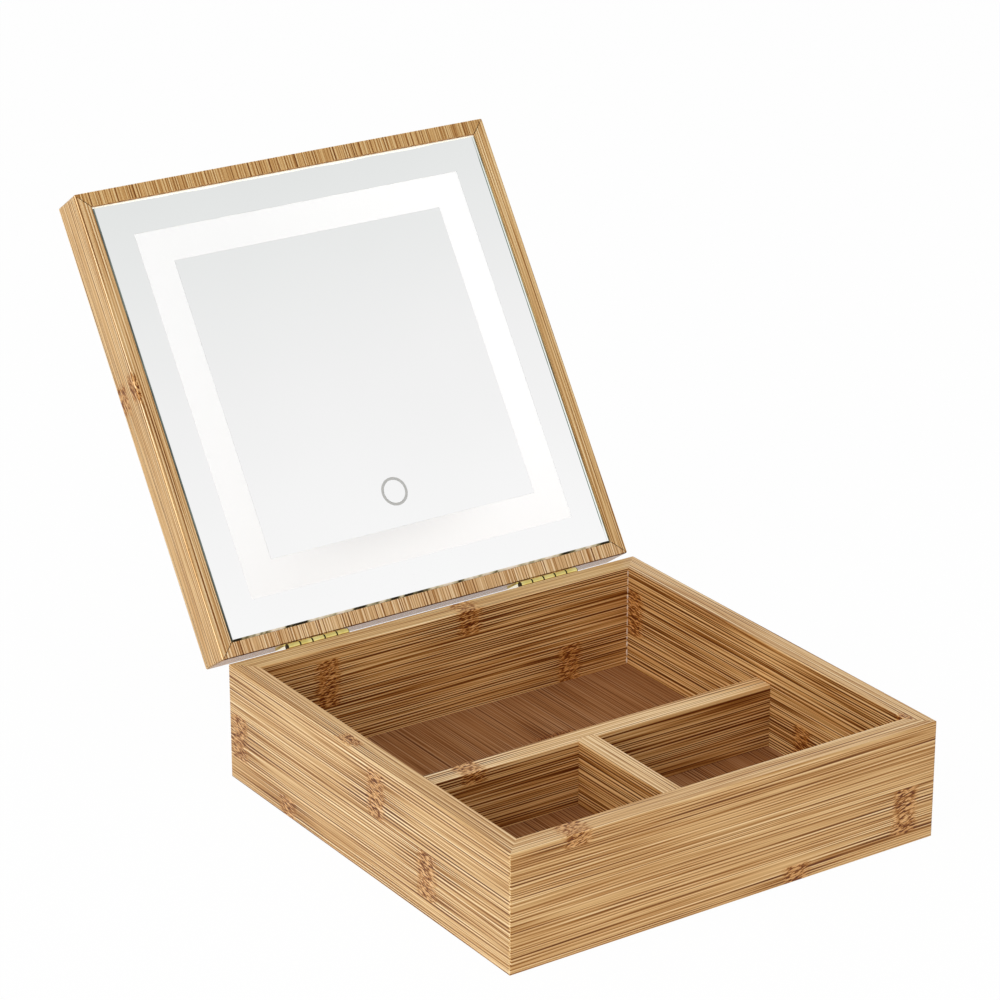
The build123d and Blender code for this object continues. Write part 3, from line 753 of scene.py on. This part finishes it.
def glue_beads():
    """Drops up the inner corner where the right and the back wall meet, and three short runs on the
    front left edge. Heights are in mm above the ground."""
    chance = random.Random(5)
    inner = Vector((corner("right_wall", (0, 0, 0)).x, corner("back_wall", (0, 0, 0)).y, 0.0))
    bead = [(X + Y) * 0.1 * MM, -X * 0.5 * MM, -(X + Y) * 0.3 * MM, -Y * 0.5 * MM]
    outer = corner("left_wall", (0, 0, 0)) + (X + Y) * (1 - math.sqrt(0.5)) * CORNER_ROUND
    out = -(X + Y).normalized()
    along = (X - Y).normalized()
    spot = [
        -out * 0.2 * MM, (along * 0.4 - out * 0.06) * MM,
        out * 0.16 * MM, (-along * 0.4 - out * 0.06) * MM,
    ]
    vertices, faces = [], []
    for line, section, low, high in (
        (inner, bead, 5.2, 48.6),
        (outer, spot, 44.8, 48.4),
        (outer, spot, 0.6, 3.0),
        (outer, spot, 4.2, 8.2),
    ):
        more, new_faces = glue_run(chance, Vector((line.x, line.y, 0.0)), section, low * MM, high * MM)
        faces += [tuple(len(vertices) + i for i in face) for face in new_faces]
        vertices += more
    glue = new_piece("glue_beads", vertices, faces, moulded("dried_glue", (238, 214, 190), 0.3), "box")
    for face in glue.data.polygons:
        face.use_smooth = True


def photo_camera():
    """The photograph's camera. It looks along -back, slid sideways and upwards from its aim."""
    turn, tilt = math.radians(AZIMUTH), math.radians(ELEVATION)
    back = Vector((math.sin(turn) * math.cos(tilt), -math.cos(turn) * math.cos(tilt), math.sin(tilt)))
    right = Vector((math.cos(turn), math.sin(turn), 0.0))
    up = back.cross(right)
    data = bpy.data.cameras.new("photo_camera")
    data.sensor_width = SENSOR
    data.lens = FOCAL_PIXELS * SENSOR / PICTURE_PIXELS
    data.clip_start, data.clip_end = CLIP_NEAR, CLIP_FAR
    camera = bpy.data.objects.new("photo_camera", data)
    bpy.context.scene.collection.objects.link(camera)
    place = AIM + DISTANCE * back + SLIDE_RIGHT * right + SLIDE_UP * up
    camera.matrix_world = Matrix.Translation(place) @ Matrix((right, up, back)).transposed().to_4x4()
    bpy.context.scene.camera = camera


def seen_directly(nodes, links):
    """1 for rays from the camera and for those that gloss or glass sends on."""
    path = nodes.new("ShaderNodeLightPath")
    total = path.outputs["Is Camera Ray"]
    for name in ("Is Glossy Ray", "Is Transmission Ray"):
        largest = nodes.new("ShaderNodeMath")
        largest.operation = "MAXIMUM"
        links.new(total, largest.inputs[0])
        links.new(path.outputs[name], largest.inputs[1])
        total = largest.outputs[0]
    return total


def studio_world():
    """White all round for the camera. What gloss reflects darkens a little towards the ceiling,
    by a height that also rises a little to the right."""
    world = bpy.data.worlds.new("studio")
    bpy.context.scene.world = world
    world.use_nodes = True
    nodes, links = world.node_tree.nodes, world.node_tree.links
    background = nodes["Background"]
    strength = nodes.new("ShaderNodeMapRange")
    links.new(seen_directly(nodes, links), strength.inputs["Value"])
    strength.inputs["To Min"].default_value = AMBIENT
    strength.inputs["To Max"].default_value = 1.0
    links.new(strength.outputs[0], background.inputs["Strength"])
    direction = nodes.new("ShaderNodeTexCoord")
    parts = nodes.new("ShaderNodeSeparateXYZ")
    links.new(direction.outputs["Generated"], parts.inputs[0])
    height = nodes.new("ShaderNodeMath")
    height.operation = "MULTIPLY_ADD"
    links.new(parts.outputs["X"], height.inputs[0])
    height.inputs[1].default_value = CEILING_TURN
    links.new(parts.outputs["Z"], height.inputs[2])
    ceiling = nodes.new("ShaderNodeValToRGB")
    links.new(height.outputs[0], ceiling.inputs["Fac"])
    stops = ceiling.color_ramp.elements
    while len(stops) < len(CEILING):
        stops.new(0.5)
    for stop, (position, colour) in zip(stops, CEILING):
        stop.position, stop.color = position, colour
    links.new(ceiling.outputs["Color"], background.inputs["Color"])


def studio_floor():
    """Floor that glows nearly white where it is seen, with a faint share of its light and shadow."""
    mesh = bpy.data.meshes.new("studio_floor")
    level = cad_box[0].z - FLOOR_DROP
    corners = [(FLOOR_HALF * i, FLOOR_HALF * j, level) for i, j in ((-1, -1), (1, -1), (1, 1), (-1, 1))]
    mesh.from_pydata(corners, [], [(0, 1, 2, 3)])
    floor = bpy.data.objects.new("studio_floor", mesh)
    bpy.context.scene.collection.objects.link(floor)
    material = bpy.data.materials.new("studio_floor")
    material.use_nodes = True
    nodes, links = material.node_tree.nodes, material.node_tree.links
    shader = nodes["Principled BSDF"]
    shader.inputs["Base Color"].default_value = (0.9, 0.9, 0.9, 1.0)
    shader.inputs["Roughness"].default_value = 0.9
    shader.inputs["Specular IOR Level"].default_value = 0.0
    glow = nodes.new("ShaderNodeEmission")
    glow.inputs["Color"].default_value = WHITE
    glow.inputs["Strength"].default_value = 1.0
    share = nodes.new("ShaderNodeMath")
    share.operation = "MULTIPLY"
    links.new(seen_directly(nodes, links), share.inputs[0])
    share.inputs[1].default_value = FLOOR_GLOW
    mixed = nodes.new("ShaderNodeMixShader")
    links.new(share.outputs[0], mixed.inputs[0])
    links.new(shader.outputs[0], mixed.inputs[1])
    links.new(glow.outputs[0], mixed.inputs[2])
    links.new(mixed.outputs[0], nodes["Material Output"].inputs["Surface"])
    mesh.materials.append(material)


def soft_lamp(name, place, size, power):
    """Square lamp that is aimed at the box and that gloss doesn't show."""
    data = bpy.data.lights.new(name, "AREA")
    data.shape = "SQUARE"
    data.size, data.energy = size, power
    lamp = bpy.data.objects.new(name, data)
    bpy.context.scene.collection.objects.link(lamp)
    lamp.location = place
    lamp.visible_glossy = False
    lamp.rotation_euler = (AIM - Vector(place)).to_track_quat("-Z", "Y").to_euler()


photo_camera()
studio_world()
studio_floor()
for lamp in LAMPS:
    soft_lamp(*lamp)
box_bamboo()
lid_bamboo()
fittings()
light_band()
touch_ring()
glue_beads()
bpy.context.scene.view_settings.view_transform = "Standard"
